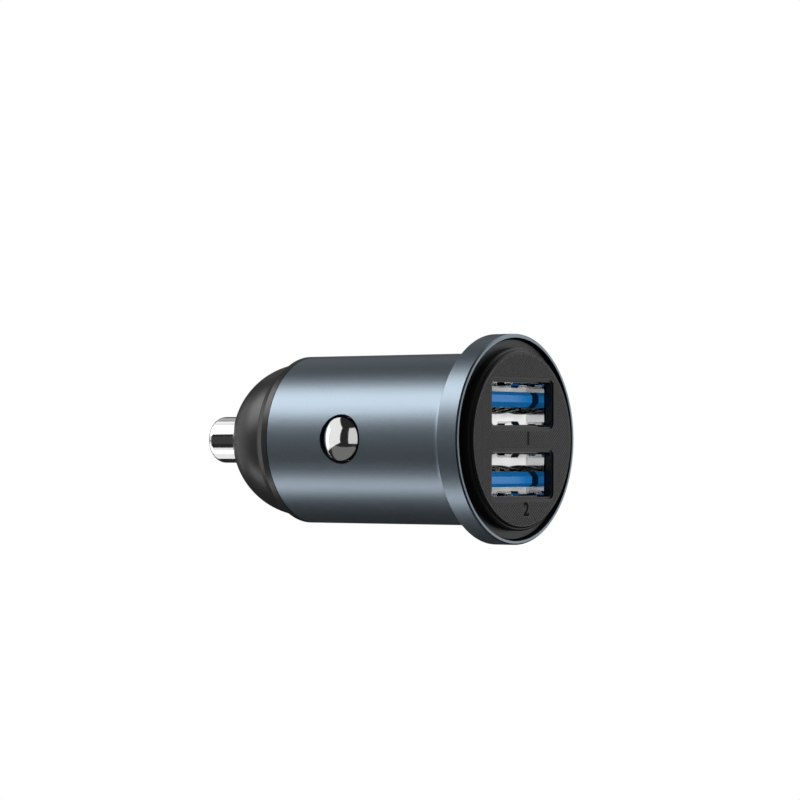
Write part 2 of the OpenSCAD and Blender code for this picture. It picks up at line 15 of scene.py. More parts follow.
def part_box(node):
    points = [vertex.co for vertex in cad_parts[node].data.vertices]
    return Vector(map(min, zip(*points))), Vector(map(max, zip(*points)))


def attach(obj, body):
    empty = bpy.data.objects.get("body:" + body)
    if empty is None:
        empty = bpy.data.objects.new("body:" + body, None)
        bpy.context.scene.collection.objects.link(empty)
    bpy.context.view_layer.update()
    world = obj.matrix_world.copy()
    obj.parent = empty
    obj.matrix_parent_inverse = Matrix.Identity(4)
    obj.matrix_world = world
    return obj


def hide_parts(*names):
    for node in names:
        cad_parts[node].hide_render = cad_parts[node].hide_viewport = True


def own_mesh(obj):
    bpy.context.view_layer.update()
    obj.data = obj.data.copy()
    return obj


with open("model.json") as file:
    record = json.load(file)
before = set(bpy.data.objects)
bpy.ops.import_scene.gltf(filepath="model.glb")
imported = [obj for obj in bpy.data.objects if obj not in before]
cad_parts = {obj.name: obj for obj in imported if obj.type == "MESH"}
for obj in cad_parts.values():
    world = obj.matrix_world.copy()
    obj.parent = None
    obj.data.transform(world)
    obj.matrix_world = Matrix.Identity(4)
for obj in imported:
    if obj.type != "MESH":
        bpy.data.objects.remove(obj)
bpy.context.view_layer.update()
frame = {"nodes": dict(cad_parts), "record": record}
MM = 0.001
scene = bpy.context.scene
scene.view_settings.view_transform = "Standard"

# %% [markdown]
# ## The camera
# The photograph was taken with a long lens, level with the plug and well to its right, so the
# barrel hardly narrows with distance. The camera could be aimed by eye, but its place here was
# found by fitting the plug's outline to the photograph. It looks at a point near the barrel's
# middle.

# %% Camera
# Angles are in degrees. Aside and raised slide the camera in its own plane.
CAMERA_AZIMUTH, CAMERA_ELEVATION, CAMERA_ROLL = 35.988, -1.080, 0.136
CAMERA_DISTANCE = 376.01 * MM
CAMERA_ASIDE, CAMERA_RAISED = -11.655 * MM, 4.729 * MM
CAMERA_LENS, SENSOR_WIDTH = 140.69, 36
NEAREST, FURTHEST = 0.01, 20


def toward(azimuth, elevation):
    """The direction from the plug to a place. Azimuth 0 is in front (-Y), 90 is at +X."""
    a, e = math.radians(azimuth), math.radians(elevation)
    return Vector((math.sin(a) * math.cos(e), -math.cos(a) * math.cos(e), math.sin(e)))


def facing(direction, place):
    """A matrix at a place, with its Z axis pointing along a direction and its Y axis upwards."""
    back = direction.normalized()
    right = Vector((0, 0, 1)).cross(back).normalized()
    turn = Matrix((right, back.cross(right), back)).transposed()
    return Matrix.Translation(place) @ turn.to_4x4()


back = toward(CAMERA_AZIMUTH, CAMERA_ELEVATION)
aim = facing(back, Vector()) @ Matrix.Rotation(math.radians(CAMERA_ROLL), 4, "Z")
camera = bpy.data.objects.new("camera", bpy.data.cameras.new("camera"))
camera.data.lens, camera.data.sensor_width = CAMERA_LENS, SENSOR_WIDTH
camera.data.clip_start, camera.data.clip_end = NEAREST, FURTHEST
camera.matrix_world = aim @ Matrix.Translation((CAMERA_ASIDE, CAMERA_RAISED, CAMERA_DISTANCE))
scene.collection.objects.link(camera)
scene.camera = camera
print("camera at", [round(x / MM, 1) for x in camera.matrix_world.translation], "mm")

# %% [markdown]
# ## Helpers for nodes
# Colours are written as sRGB hex values, the way a paint chart gives them, and Blender wants
# linear light, so one function converts them. Every shader and geometry tree below is built
# by one function that adds a node, sets it up and wires it. A third starts each material.
# Patterns read Object coordinates, which are metres in the plug's own frame.

# %% Helpers


def srgb(code):
    """An sRGB hex value such as '#6a7885' as a linear colour."""
    parts = [int(code[i:i + 2], 16) / 255 for i in (1, 3, 5)]
    linear = [c / 12.92 if c <= 0.04045 else ((c + 0.055) / 1.055) ** 2.4 for c in parts]
    return (*linear, 1)


def add(tree, kind, inputs=None, **settings):
    """Adds a node with its settings. Each input is a value, or the socket that feeds it."""
    made = tree.nodes.new(kind)
    for name, value in settings.items():
        setattr(made, name, value)
    for name, value in (inputs or {}).items():
        if isinstance(value, bpy.types.NodeSocket):
            tree.links.new(value, made.inputs[name])
        else:
            made.inputs[name].default_value = value
    return made


def new_finish(name, **shader_inputs):
    """A material with a Principled shader. Returns its tree, its shader and the object's space."""
    material = bpy.data.materials.new(name)
    material.use_nodes = True
    tree = material.node_tree
    tree.nodes.clear()
    shader = add(tree, "ShaderNodeBsdfPrincipled",
                 {key.replace("_", " "): value for key, value in shader_inputs.items()})
    add(tree, "ShaderNodeOutputMaterial", {"Surface": shader.outputs["BSDF"]})
    place = add(tree, "ShaderNodeTexCoord").outputs["Object"]
    return material, tree, shader, place


print("sRGB #808080 is", round(srgb("#808080")[0], 3), "in linear light")

# %% [markdown]
# ## Bead-blasted, anodised aluminium
# The housing is turned on a lathe, blasted with fine glass beads and dyed blue-grey in the
# anodising bath. Blasting leaves a soft grain of about a tenth of a millimetre, so highlights
# are broad with a faint sparkle. It is a metal with medium roughness. One noise gives the
# grain to the roughness and the bump, and a slower one lets the dye vary slightly.

# %% Anodised aluminium
# The real grain is finer, and is drawn this coarse so that it shows.
GRAIN_SIZE = 0.16 * MM
DYE_PATCH = 6 * MM
# Over nearly all of a surface, a noise lies between these two values.
NOISE_LOW, NOISE_HIGH = 0.3, 0.7
anodised, tree, shader, place = new_finish("blasted anodised aluminium", Metallic=1.0)
grain = add(tree, "ShaderNodeTexNoise",
            {"Vector": place, "Scale": 1 / GRAIN_SIZE, "Detail": 3.0, "Roughness": 0.6})
patches = add(tree, "ShaderNodeTexNoise", {"Vector": place, "Scale": 1 / DYE_PATCH, "Detail": 2.0})
dye = add(tree, "ShaderNodeValToRGB", {"Fac": grain.outputs["Fac"]})
dye.color_ramp.elements[0].position, dye.color_ramp.elements[0].color = 0.3, srgb("#8f9da9")
dye.color_ramp.elements[1].position, dye.color_ramp.elements[1].color = 0.72, srgb("#a3b0bb")
tint = add(tree, "ShaderNodeMix", {"Factor": patches.outputs["Fac"], "A": dye.outputs["Color"],
                                   "B": srgb("#98a6b2")}, data_type="RGBA")
tree.links.new(tint.outputs[2], shader.inputs["Base Color"])
haze = add(tree, "ShaderNodeMapRange", {"Value": grain.outputs["Fac"], "From Min": NOISE_LOW,
                                        "From Max": NOISE_HIGH, "To Min": 0.36, "To Max": 0.44})
tree.links.new(haze.outputs["Result"], shader.inputs["Roughness"])
blasted = add(tree, "ShaderNodeBump", {"Height": grain.outputs["Fac"], "Strength": 0.35,
                                       "Distance": 0.006 * MM})
tree.links.new(blasted.outputs["Normal"], shader.inputs["Normal"])
print("grain", GRAIN_SIZE / MM, "mm")

# %% [markdown]
# ## Moulded plastics
# The faceplate and the nose are black ABS from a spark-eroded mould, which gives a fine satin
# grain. The socket bodies are white nylon, the tongues blue PBT, and the frame black nylon.
# They differ in colour, gloss and grain size only, so one function mixes them all: a noise for
# the mould's grain, and a slow noise that lets the colour drift as pigment does.

# %% Moulded plastic
PIGMENT_DRIFT = 3 * MM
SHEEN_SPREAD = 0.04


def moulded(name, light, dark, roughness, grain_size, relief, ior=1.5):
    """A moulded plastic whose colour drifts between two values, with a grain of that size."""
    material, tree, shader, place = new_finish(name, Metallic=0.0, IOR=ior)
    drift = add(tree, "ShaderNodeTexNoise",
                {"Vector": place, "Scale": 1 / PIGMENT_DRIFT, "Detail": 2.0})
    colour = add(tree, "ShaderNodeMix", {"Factor": drift.outputs["Fac"], "A": srgb(dark),
                                         "B": srgb(light)}, data_type="RGBA")
    mould = add(tree, "ShaderNodeTexNoise", {"Vector": place, "Scale": 1 / grain_size, "Detail": 2.0})
    sheen = add(tree, "ShaderNodeMapRange", {"Value": mould.outputs["Fac"], "From Min": NOISE_LOW,
                                             "From Max": NOISE_HIGH,
                                             "To Min": roughness - SHEEN_SPREAD,
                                             "To Max": roughness + SHEEN_SPREAD})
    skin = add(tree, "ShaderNodeBump", {"Height": mould.outputs["Fac"], "Strength": 0.4,
                                        "Distance": relief})
    tree.links.new(colour.outputs[2], shader.inputs["Base Color"])
    tree.links.new(sheen.outputs["Result"], shader.inputs["Roughness"])
    tree.links.new(skin.outputs["Normal"], shader.inputs["Normal"])
    return material


# %% Plastics
# Black ABS with a satin grain: dark, with wide soft highlights. The nose is a shade lighter.
face_abs = moulded("satin black ABS of the face", "#141415", "#101011", 0.36, 0.12 * MM, 0.003 * MM)
nose_abs = moulded("satin black ABS of the nose", "#29292a", "#222223", 0.34, 0.14 * MM, 0.003 * MM)
# Nylon with glass fibre comes out of the mould duller than ABS.
frame_nylon = moulded("black nylon of the frame", "#232323", "#1c1c1c", 0.55, 0.2 * MM, 0.006 * MM)
# Natural nylon is a warm white, and the bright shells around it mirror it.
white_nylon = moulded("white nylon of the sockets", "#efeeea", "#e7e6e1", 0.45, 0.15 * MM,
                      0.003 * MM)
# PBT is moulded in a polished tool, so the blue has a clear sheen.
blue_pbt = moulded("blue PBT of the tongues", "#1a7cc4", "#1372b8", 0.3, 0.2 * MM, 0.002 * MM)
# Chips are cast in epoxy with mineral powder: matt, almost black.
epoxy = moulded("black epoxy of the chips", "#28292b", "#1f2022", 0.5, 0.08 * MM, 0.004 * MM)
print("plastics:", [m.name for m in (face_abs, nose_abs, frame_nylon, white_nylon, blue_pbt, epoxy)])

# %% [markdown]
# ## Bright metals
# The contacts are nickel plated and polished, the socket shells are nickel-plated sheet that
# was drawn through rolls, and the springs are drawn steel wire. All are smooth metals, so the
# look comes from what they reflect. Rolling leaves very faint lines along the sheet, made by a
# noise that is stretched along X.

# %% Plated and drawn metal
ROLL_LINE = 0.05 * MM


def plated(name, colour, roughness, spread, stretch=(1, 1, 1), line=ROLL_LINE, relief=0.0004 * MM):
    """A metal with faint lines. Stretch is how fast the pattern changes along X, Y and Z."""
    material, tree, shader, place = new_finish(name, Metallic=1.0, Base_Color=srgb(colour))
    drawn = add(tree, "ShaderNodeMapping", {"Vector": place, "Scale": stretch})
    lines = add(tree, "ShaderNodeTexNoise",
                {"Vector": drawn.outputs["Vector"], "Scale": 1 / line, "Detail": 2.0})
    polish = add(tree, "ShaderNodeMapRange", {"Value": lines.outputs["Fac"], "From Min": NOISE_LOW,
                                              "From Max": NOISE_HIGH, "To Min": roughness,
                                              "To Max": roughness + spread})
    mark = add(tree, "ShaderNodeBump", {"Height": lines.outputs["Fac"], "Strength": 0.3,
                                        "Distance": relief})
    tree.links.new(polish.outputs["Result"], shader.inputs["Roughness"])
    tree.links.new(mark.outputs["Normal"], shader.inputs["Normal"])
    return material


# %% Bright metals
# The contacts are polished after plating, so they mirror the studio sharply.
contact_nickel = plated("polished nickel of the contacts", "#dadad8", 0.07, 0.04,
                        line=0.6 * MM, relief=0.00004 * MM)
# Bright rolled sheet is nearly a mirror, with faint lines along it.
SHEET_COLOUR = "#d2d3d5"
shell_nickel = plated("rolled nickel-plated sheet", SHEET_COLOUR, 0.05, 0.02, stretch=(0.03, 1, 1),
                      relief=0.00005 * MM)
# Wire drawn through a die is grey and slightly silky.
spring_steel = plated("drawn steel wire", "#b9babb", 0.22, 0.08, line=0.1 * MM)
# Tin is softer in shine than nickel.
tinned_strip = plated("tinned copper strip", "#cfd1d3", 0.25, 0.12, stretch=(0.1, 1, 1))
# The contact strips lie in shadow and mirror the dark inside of the sockets. Their real plating is
# bright, and this dark colour is painted shade for that shadow and dark reflection.
strip_plate_painted_shade = plated("plated contact strip", "#45413c", 0.22, 0.08, stretch=(0.05, 1, 1))
# A capacitor's can is drawn upwards, which leaves lines along Z.
can_metal = plated("drawn aluminium can", "#c8cacd", 0.24, 0.1, stretch=(1, 1, 0.05))
print("metals:", [m.name for m in (contact_nickel, shell_nickel, spring_steel, tinned_strip,
                                   strip_plate_painted_shade, can_metal)])

# %% [markdown]
# ## Painted shade on the front edges of the socket shells
# The front edge of each shell is painted a dull dark grey. This is painted shade: a dim line round
# each window, in place of the bright line the sheet would mirror there. The edge could be a material
# of its own on its faces, but the CAD mesh stays as it is. So the colour changes by place along X.

# %% Painted shade on the shell edges
# How far back from the shell's front the painted shade reaches.
SHADED_EDGE_WIDTH = 0.03 * MM
SHELL_FRONT_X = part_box("upper_port_shell")[1].x
tree = shell_nickel.node_tree
place = add(tree, "ShaderNodeTexCoord").outputs["Object"]
along = add(tree, "ShaderNodeSeparateXYZ", {"Vector": place})
painted_shade_edge = add(tree, "ShaderNodeMath", {0: along.outputs["X"], 1: SHELL_FRONT_X - SHADED_EDGE_WIDTH},
           operation="GREATER_THAN")
# The dark grey on the front edge is painted shade, not the sheet's own colour.
sheet_and_painted_shade = add(tree, "ShaderNodeMix", {"Factor": painted_shade_edge.outputs[0], "A": srgb(SHEET_COLOUR),
                                           "B": srgb("#4c4d50")}, data_type="RGBA")
tree.links.new(sheet_and_painted_shade.outputs[2], tree.nodes["Principled BSDF"].inputs["Base Color"])
print("shells end at X", round(SHELL_FRONT_X / MM, 2), "mm")

# %% [markdown]
# ## The circuit board and its parts
# Inside lies a glass-fibre board under green solder mask. The weave of the glass shows through
# the mask as a fine check, made by two crossed waves. The inductor is pressed iron powder, and
# the ceramic capacitors are fired ceramic, both plain and matt with a grain.

# %% Board, iron powder and ceramic
# A wave texture of scale 1 repeats every 0.314 m.
WAVE_REPEAT = math.pi / 10
WEAVE = 0.9865 * MM
solder_mask, tree, shader, place = new_finish("green solder mask on glass fibre", Roughness=0.3)
warp, weft = (add(tree, "ShaderNodeTexWave", {"Vector": place, "Scale": WAVE_REPEAT / WEAVE},
                  bands_direction=axis) for axis in "XY")
cloth = add(tree, "ShaderNodeMath", {0: warp.outputs["Fac"], 1: weft.outputs["Fac"]},
            operation="MULTIPLY")
mask = add(tree, "ShaderNodeMix", {"Factor": cloth.outputs[0], "A": srgb("#17563a"),
                                   "B": srgb("#1f6a48")}, data_type="RGBA")
tree.links.new(mask.outputs[2], shader.inputs["Base Color"])
iron_powder = moulded("pressed iron powder", "#4f5154", "#434548", 0.6, 0.12 * MM, 0.01 * MM, 1.8)
ceramic = moulded("fired ceramic", "#bda27b", "#ac9069", 0.45, 0.2 * MM, 0.003 * MM, 1.6)
print("inside:", [m.name for m in (solder_mask, iron_powder, ceramic)])

# %% [markdown]
# ## Dress the CAD nodes
# Each CAD node keeps its shape and takes the finish of its record slot. The table below is
# read once, so that no piece is left with the importer's plain colour.

# %% Finishes by slot
FINISH_OF_SLOT = {
    "anodised_aluminium": anodised, "face_plastic": face_abs, "nose_plastic": nose_abs,
    "contact_nickel": contact_nickel, "shell_nickel": shell_nickel, "spring_steel": spring_steel,
    "tinned_strip": tinned_strip, "frame_plastic": frame_nylon, "board_green": solder_mask,
    "socket_plastic": white_nylon, "tongue_plastic": blue_pbt, "contact_plate": strip_plate_painted_shade,
    "component_black": epoxy, "inductor_grey": iron_powder, "can_aluminium": can_metal,
    "ceramic_tan": ceramic,
}
slot_of_node = {row["node"]: row["material_slot"] for row in frame["record"]["subparts"]}
for name, node in frame["nodes"].items():
    node.data.materials.clear()
    node.data.materials.append(FINISH_OF_SLOT[slot_of_node[name]])
print("dressed", len(slot_of_node), "nodes in", len(FINISH_OF_SLOT), "finishes")

# %% [markdown]
# ## Three helpers for geometry trees
# A Geometry Nodes tree is a small machine with named dials. The first helper starts a tree
# with such dials, and the second ends it with real geometry and its material. The third runs
# it and keeps the result as a plain mesh that sits in the plug's own frame.

# %% Geometry tree helpers


def new_tree(name, dials):
    """A geometry tree with those inputs, each given as (socket kind, default)."""
    tree = bpy.data.node_groups.new(name, "GeometryNodeTree")
    for dial, (kind, default) in dials.items():
        socket = tree.interface.new_socket(dial, in_out="INPUT", socket_type="NodeSocket" + kind)
        if default is not None:
            socket.default_value = default
    tree.interface.new_socket("Geometry", in_out="OUTPUT", socket_type="NodeSocketGeometry")
    return tree, tree.nodes.new("NodeGroupInput").outputs


def end_tree(tree, geometry, material):
    """Realizes what the tree made and gives it its material."""
    real = add(tree, "GeometryNodeRealizeInstances", {"Geometry": geometry})
    painted = add(tree, "GeometryNodeSetMaterial", {"Geometry": real.outputs[0], "Material": material})
    add(tree, "NodeGroupOutput", {"Geometry": painted.outputs[0]})


def grow(name, tree, dials, placed=Matrix.Identity(4)):
    """Runs a tree with those dials and returns the plain mesh object, placed by a matrix."""
    seed = bpy.data.objects.new(name + "_seed", bpy.data.meshes.new(name + "_seed"))
    scene.collection.objects.link(seed)
    modifier = seed.modifiers.new(name, "NODES")
    modifier.node_group = tree
    identifiers = {s.name: s.identifier for s in tree.interface.items_tree
                   if s.item_type == "SOCKET" and s.in_out == "INPUT"}
    for dial, value in dials.items():
        modifier[identifiers[dial]] = value
    mesh = bpy.data.meshes.new_from_object(seed.evaluated_get(bpy.context.evaluated_depsgraph_get()))
    bpy.data.objects.remove(seed)
    mesh.name = name
    mesh.transform(placed)
    made = bpy.data.objects.new(name, mesh)
    scene.collection.objects.link(made)
    print(name, len(mesh.vertices), "vertices", len(mesh.polygons), "faces")
    return made


print("helpers for trees:", [helper.__name__ for helper in (new_tree, end_tree, grow)])

# %% [markdown]
# ## The springs
# A compression spring is wire wound on a mandrel: its end turns lie closed against their
# neighbours, and the turns between rise evenly. The CAD springs are coarse, so a tree winds
# smooth ones in the same place. It bends a line into a helix by moving each point, then sweeps
# a circle along it. First come the points, and how many turns each has gone round.

# %% Spring tree: turns
POINTS_PER_TURN = 28
spring_tree, dial = new_tree("wound spring", {
    "Radius": ("Float", 0.002), "Wire": ("Float", 0.0005), "Length": ("Float", 0.008),
    "Turns": ("Float", 6.0)})
count = add(spring_tree, "ShaderNodeMath", {0: dial["Turns"], 1: POINTS_PER_TURN},
            operation="MULTIPLY")
line = add(spring_tree, "GeometryNodeMeshLine", {"Count": count.outputs[0]})
wire = add(spring_tree, "GeometryNodeMeshToCurve", {"Mesh": line.outputs[0]})
step = add(spring_tree, "GeometryNodeInputIndex")
last = add(spring_tree, "ShaderNodeMath", {0: count.outputs[0], 1: 1.0}, operation="SUBTRACT")
share = add(spring_tree, "ShaderNodeMath", {0: step.outputs[0], 1: last.outputs[0]},
            operation="DIVIDE")
turn = add(spring_tree, "ShaderNodeMath", {0: share.outputs[0], 1: dial["Turns"]},
           operation="MULTIPLY")
angle = add(spring_tree, "ShaderNodeMath", {0: turn.outputs[0], 1: 2 * math.pi},
            operation="MULTIPLY")
east = add(spring_tree, "ShaderNodeMath", {0: angle.outputs[0]}, operation="COSINE")
north = add(spring_tree, "ShaderNodeMath", {0: angle.outputs[0]}, operation="SINE")
print("spring dials:", [socket.name for socket in dial if socket.name])

# %% [markdown]
# The first and last turns rise by little more than one wire each, so that they lie closed, and
# the open turns take up the rest of the length.

# %% Spring tree: rise
CLOSED_RISE = 1.05
closed = add(spring_tree, "ShaderNodeMath", {0: dial["Wire"], 1: CLOSED_RISE},
             operation="MULTIPLY")
before_last = add(spring_tree, "ShaderNodeMath", {0: dial["Turns"], 1: 1.0}, operation="SUBTRACT")
low = add(spring_tree, "ShaderNodeMapRange", {"Value": turn.outputs[0], "From Min": 0.0,
                                              "From Max": 1.0, "To Max": closed.outputs[0]})
high = add(spring_tree, "ShaderNodeMapRange", {"Value": turn.outputs[0],
                                               "From Min": before_last.outputs[0],
                                               "From Max": dial["Turns"],
                                               "To Max": closed.outputs[0]})
two_closed = add(spring_tree, "ShaderNodeMath", {0: closed.outputs[0], 1: 2.0},
                 operation="MULTIPLY")
above_wire = add(spring_tree, "ShaderNodeMath", {0: dial["Length"], 1: dial["Wire"]},
                 operation="SUBTRACT")
open_rise = add(spring_tree, "ShaderNodeMath", {0: above_wire.outputs[0],
                                                1: two_closed.outputs[0]}, operation="SUBTRACT")
middle = add(spring_tree, "ShaderNodeMapRange", {"Value": turn.outputs[0], "From Min": 1.0,
                                                 "From Max": before_last.outputs[0],
                                                 "To Max": open_rise.outputs[0]})
half_wire = add(spring_tree, "ShaderNodeMath", {0: dial["Wire"], 1: 0.5}, operation="MULTIPLY")
ends = add(spring_tree, "ShaderNodeMath", {0: low.outputs[0], 1: high.outputs[0]}, operation="ADD")
rise = add(spring_tree, "ShaderNodeMath", {0: ends.outputs[0], 1: middle.outputs[0]},
           operation="ADD")
height = add(spring_tree, "ShaderNodeMath", {0: rise.outputs[0], 1: half_wire.outputs[0]},
             operation="ADD")
print("a closed turn rises by", CLOSED_RISE, "wires")

# %% Spring tree: wire
WIRE_SIDES = 12
flat = add(spring_tree, "ShaderNodeCombineXYZ", {"X": east.outputs[0], "Y": north.outputs[0]})
round_wire = add(spring_tree, "ShaderNodeVectorMath", {0: flat.outputs[0], "Scale": dial["Radius"]},
                 operation="SCALE")
lift = add(spring_tree, "ShaderNodeCombineXYZ", {"Z": height.outputs[0]})
helix = add(spring_tree, "ShaderNodeVectorMath", {0: round_wire.outputs[0], 1: lift.outputs[0]},
            operation="ADD")
wound = add(spring_tree, "GeometryNodeSetPosition", {"Geometry": wire.outputs[0],
                                                     "Position": helix.outputs[0]})
section = add(spring_tree, "GeometryNodeCurvePrimitiveCircle", {"Resolution": WIRE_SIDES,
                                                                "Radius": half_wire.outputs[0]})
swept = add(spring_tree, "GeometryNodeCurveToMesh", {"Curve": wound.outputs[0],
                                                     "Profile Curve": section.outputs[0],
                                                     "Fill Caps": True})
smooth = add(spring_tree, "GeometryNodeSetShadeSmooth", {"Geometry": swept.outputs[0]})
end_tree(spring_tree, smooth.outputs[0], spring_steel)
print(spring_tree.name, len(spring_tree.nodes), "nodes")

# %% [markdown]
# Each spring is wound along Z and then laid along its own contact's path. A spring can't ride on one
# body, because one end stays and the other moves. Here it is wound out from its fixed end and stays
# with the plug's body.

# %% Wind the three springs
# Wire, turns, the joint that presses the spring, and how far that moves it, in mm
SPRINGS = {
    "centre_spring": (0.55, 6.5, "centre_contact_press", 2.5),
    "left_side_spring": (0.4, 5.5, "left_contact_press", 0.8),
    "right_side_spring": (0.4, 5.5, "right_contact_press", 0.8),
}
for node, (wire_d, turns, joint, travel) in SPRINGS.items():
    low_corner, high_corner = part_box(node)
    size = high_corner - low_corner
    along = 0 if node.startswith("centre") else 1
    length, radius = size[along], (size[1 - along] - wire_d * MM) / 2
    # Fixed ends: the centre spring's is at its inner end, the side springs' are nearest the axis
    fixed_high = node in ("centre_spring", "left_side_spring")
    direction = Vector((1, 0, 0) if along == 0 else (0, 1, 0)) * (-1 if fixed_high else 1)
    anchor = Vector((0, (low_corner.y + high_corner.y) / 2, 0)) if along == 0 else \
        Vector(((low_corner.x + high_corner.x) / 2, 0, 0))
    anchor[along] = high_corner[along] if fixed_high else low_corner[along]
    turn_to = direction.to_track_quat("Z", "Y").to_matrix().to_4x4()
    coil = grow(node + "_wire", spring_tree,
                {"Radius": radius, "Wire": wire_d * MM, "Length": length, "Turns": turns},
                Matrix.Translation(anchor) @ turn_to)
    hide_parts(node)
    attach(coil, "plug")
    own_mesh(coil)

# %% [markdown]
# ## The numerals
# Each socket has its number on the face. A numeral is left clear of the pattern and filled with
# matt black ink, so it is the darkest spot of the disc. Blender's own font gives the outline.
# It is made a mesh first and then placed, so that it sits in the plug's frame, a hair above the
# disc.

# %% Ink and places of the numerals
FIELD_FLOOR_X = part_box("faceplate")[1].x
INK_DEPTH, INK_PROUD = 0.03 * MM, 0.02 * MM
NUMERAL_HEIGHT = 1.65 * MM
# The font's size is 1.37 times the height of its digits. The swell makes their strokes bolder.
FONT_SIZE, STROKE_SWELL = NUMERAL_HEIGHT * 1.37, 0.06 * MM
NUMERALS = {"1": Vector((0, 1.05, 0)) * MM, "2": Vector((0, 0.7, -8.45)) * MM}
ink_black, tree, shader, place = new_finish("matt black filling ink", Roughness=0.7,
                                            Specular_IOR_Level=0.12)
settled = add(tree, "ShaderNodeTexNoise", {"Vector": place, "Scale": 1 / (0.3 * MM)})
pool = add(tree, "ShaderNodeMix", {"Factor": settled.outputs["Fac"], "A": srgb("#070708"),
                                   "B": srgb("#0c0c0d")}, data_type="RGBA")
tree.links.new(pool.outputs[2], shader.inputs["Base Color"])
# Text lies in X and Y. On the face, its X runs along +Y and its Y along +Z.
ON_FACE = Matrix(((0, 0, 1, 0), (1, 0, 0, 0), (0, 1, 0, 0), (0, 0, 0, 1)))
print("the disc's top is at X", round(FIELD_FLOOR_X / MM, 2), "mm")

# %% Numerals


def numeral(digit, name, x_from, x_to):
    """A digit as a solid between two places along X."""
    text = bpy.data.curves.new(name, "FONT")
    text.body, text.align_x, text.align_y = digit, "CENTER", "CENTER"
    text.size, text.offset = FONT_SIZE, STROKE_SWELL
    text.resolution_u = 4
    text.extrude = (x_to - x_from) / 2
    carrier = bpy.data.objects.new(name, text)
    scene.collection.objects.link(carrier)
    mesh = bpy.data.meshes.new_from_object(
        carrier.evaluated_get(bpy.context.evaluated_depsgraph_get()))
    bpy.data.objects.remove(carrier)
    centre = NUMERALS[digit] + Vector(((x_from + x_to) / 2, 0, 0))
    mesh.transform(Matrix.Translation(centre) @ ON_FACE)
    made = bpy.data.objects.new(name, mesh)
    scene.collection.objects.link(made)
    return made


numerals = bpy.data.collections.new("numerals")
for digit, word in (("1", "one"), ("2", "two")):
    ink = numeral(digit, "numeral_" + word, FIELD_FLOOR_X - INK_DEPTH, FIELD_FLOOR_X + INK_PROUD)
    ink.data.materials.clear()
    ink.data.materials.append(ink_black)
    numerals.objects.link(ink)
    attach(ink, "plug")
print("numerals:", sorted(NUMERALS))

# %% [markdown]
# ## The diamond field
# The raised disc of the face carries a fine pattern of grooves that cross at about 45 degrees.
# Those rising to the right show most, so each diamond between them is a little roof with a long
# ridge, and the ridges line up. A texture could fake it, but real relief catches the light from
# every side. The tree lays out a grid of points in the plane of the disc, and sets a roof on
# each point that has room for it. First come its dials and the grid.

# %% Diamond field tree: grid
field_tree, dial = new_tree("diamond field", {
    "Diamond width": ("Float", 0.0005), "Diamond height": ("Float", 0.00045),
    "Relief": ("Float", 0.00006), "Ridge share": ("Float", 0.8), "Disc radius": ("Float", 0.0104),
    "Window width": ("Float", 0.0133), "Window height": ("Float", 0.0059),
    "Window corner": ("Float", 0.0008), "Window offset": ("Float", 0.0042),
    "Floor": ("Float", 0.0038), "Edge clearance": ("Float", 0.0002),
    "Numerals": ("Collection", None), "Numeral clearance": ("Float", 0.00013)})
# Grid and roof are made with a diagonal of 1, so width and height are plain scale factors.
CELL = math.sqrt(0.5)
widths = add(field_tree, "ShaderNodeMath", {0: dial["Disc radius"], 1: dial["Diamond height"]},
             operation="DIVIDE")
cells = add(field_tree, "ShaderNodeMath", {0: widths.outputs[0], 1: 1 / CELL}, operation="MULTIPLY")
whole = add(field_tree, "ShaderNodeMath", {0: cells.outputs[0]}, operation="CEIL")
points = add(field_tree, "ShaderNodeMath", {0: whole.outputs[0], 1: 2.0, 2: 1.0},
             operation="MULTIPLY_ADD")
side = add(field_tree, "ShaderNodeMath", {0: whole.outputs[0], 1: 2 * CELL}, operation="MULTIPLY")
grid = add(field_tree, "GeometryNodeMeshGrid", {
    "Size X": side.outputs[0], "Size Y": side.outputs[0],
    "Vertices X": points.outputs[0], "Vertices Y": points.outputs[0]})
print("field dials:", [socket.name for socket in dial if socket.name])

# %% [markdown]
# A roof is a block whose top is drawn in to a ridge along its own X. It is sunk a little into
# the disc, so that no gap shows under it. Grid and roof are turned, scaled and stood up alike.

# %% Diamond field tree: roof
ROOF_SINK = 0.01 * MM
block = add(field_tree, "GeometryNodeMeshCube", {"Size": (CELL, CELL, 1.0)})
corner = add(field_tree, "GeometryNodeInputPosition")
corner_parts = add(field_tree, "ShaderNodeSeparateXYZ", {"Vector": corner.outputs[0]})
at_top = add(field_tree, "ShaderNodeMath", {0: corner_parts.outputs["Z"], 1: 0.0},
             operation="GREATER_THAN")
drawn_in = add(field_tree, "ShaderNodeCombineXYZ", {"X": dial["Ridge share"], "Z": 1.0})
pulled = add(field_tree, "ShaderNodeVectorMath", {0: corner.outputs[0], 1: drawn_in.outputs[0]},
             operation="MULTIPLY")
roofed = add(field_tree, "GeometryNodeSetPosition", {
    "Geometry": block.outputs["Mesh"], "Selection": at_top.outputs[0],
    "Position": pulled.outputs[0]})
merged = add(field_tree, "GeometryNodeMergeByDistance", {"Geometry": roofed.outputs[0],
                                                         "Distance": 0.001})
based = add(field_tree, "GeometryNodeTransform", {"Geometry": merged.outputs[0],
                                                  "Translation": (0, 0, 0.5)})
tall = add(field_tree, "ShaderNodeMath", {0: dial["Relief"], 1: ROOF_SINK}, operation="ADD")
cell_scale = add(field_tree, "ShaderNodeCombineXYZ", {
    "X": dial["Diamond height"], "Y": dial["Diamond width"], "Z": tall.outputs[0]})
base_x = add(field_tree, "ShaderNodeMath", {0: dial["Floor"], 1: ROOF_SINK}, operation="SUBTRACT")
base_at = add(field_tree, "ShaderNodeCombineXYZ", {"X": base_x.outputs[0]})


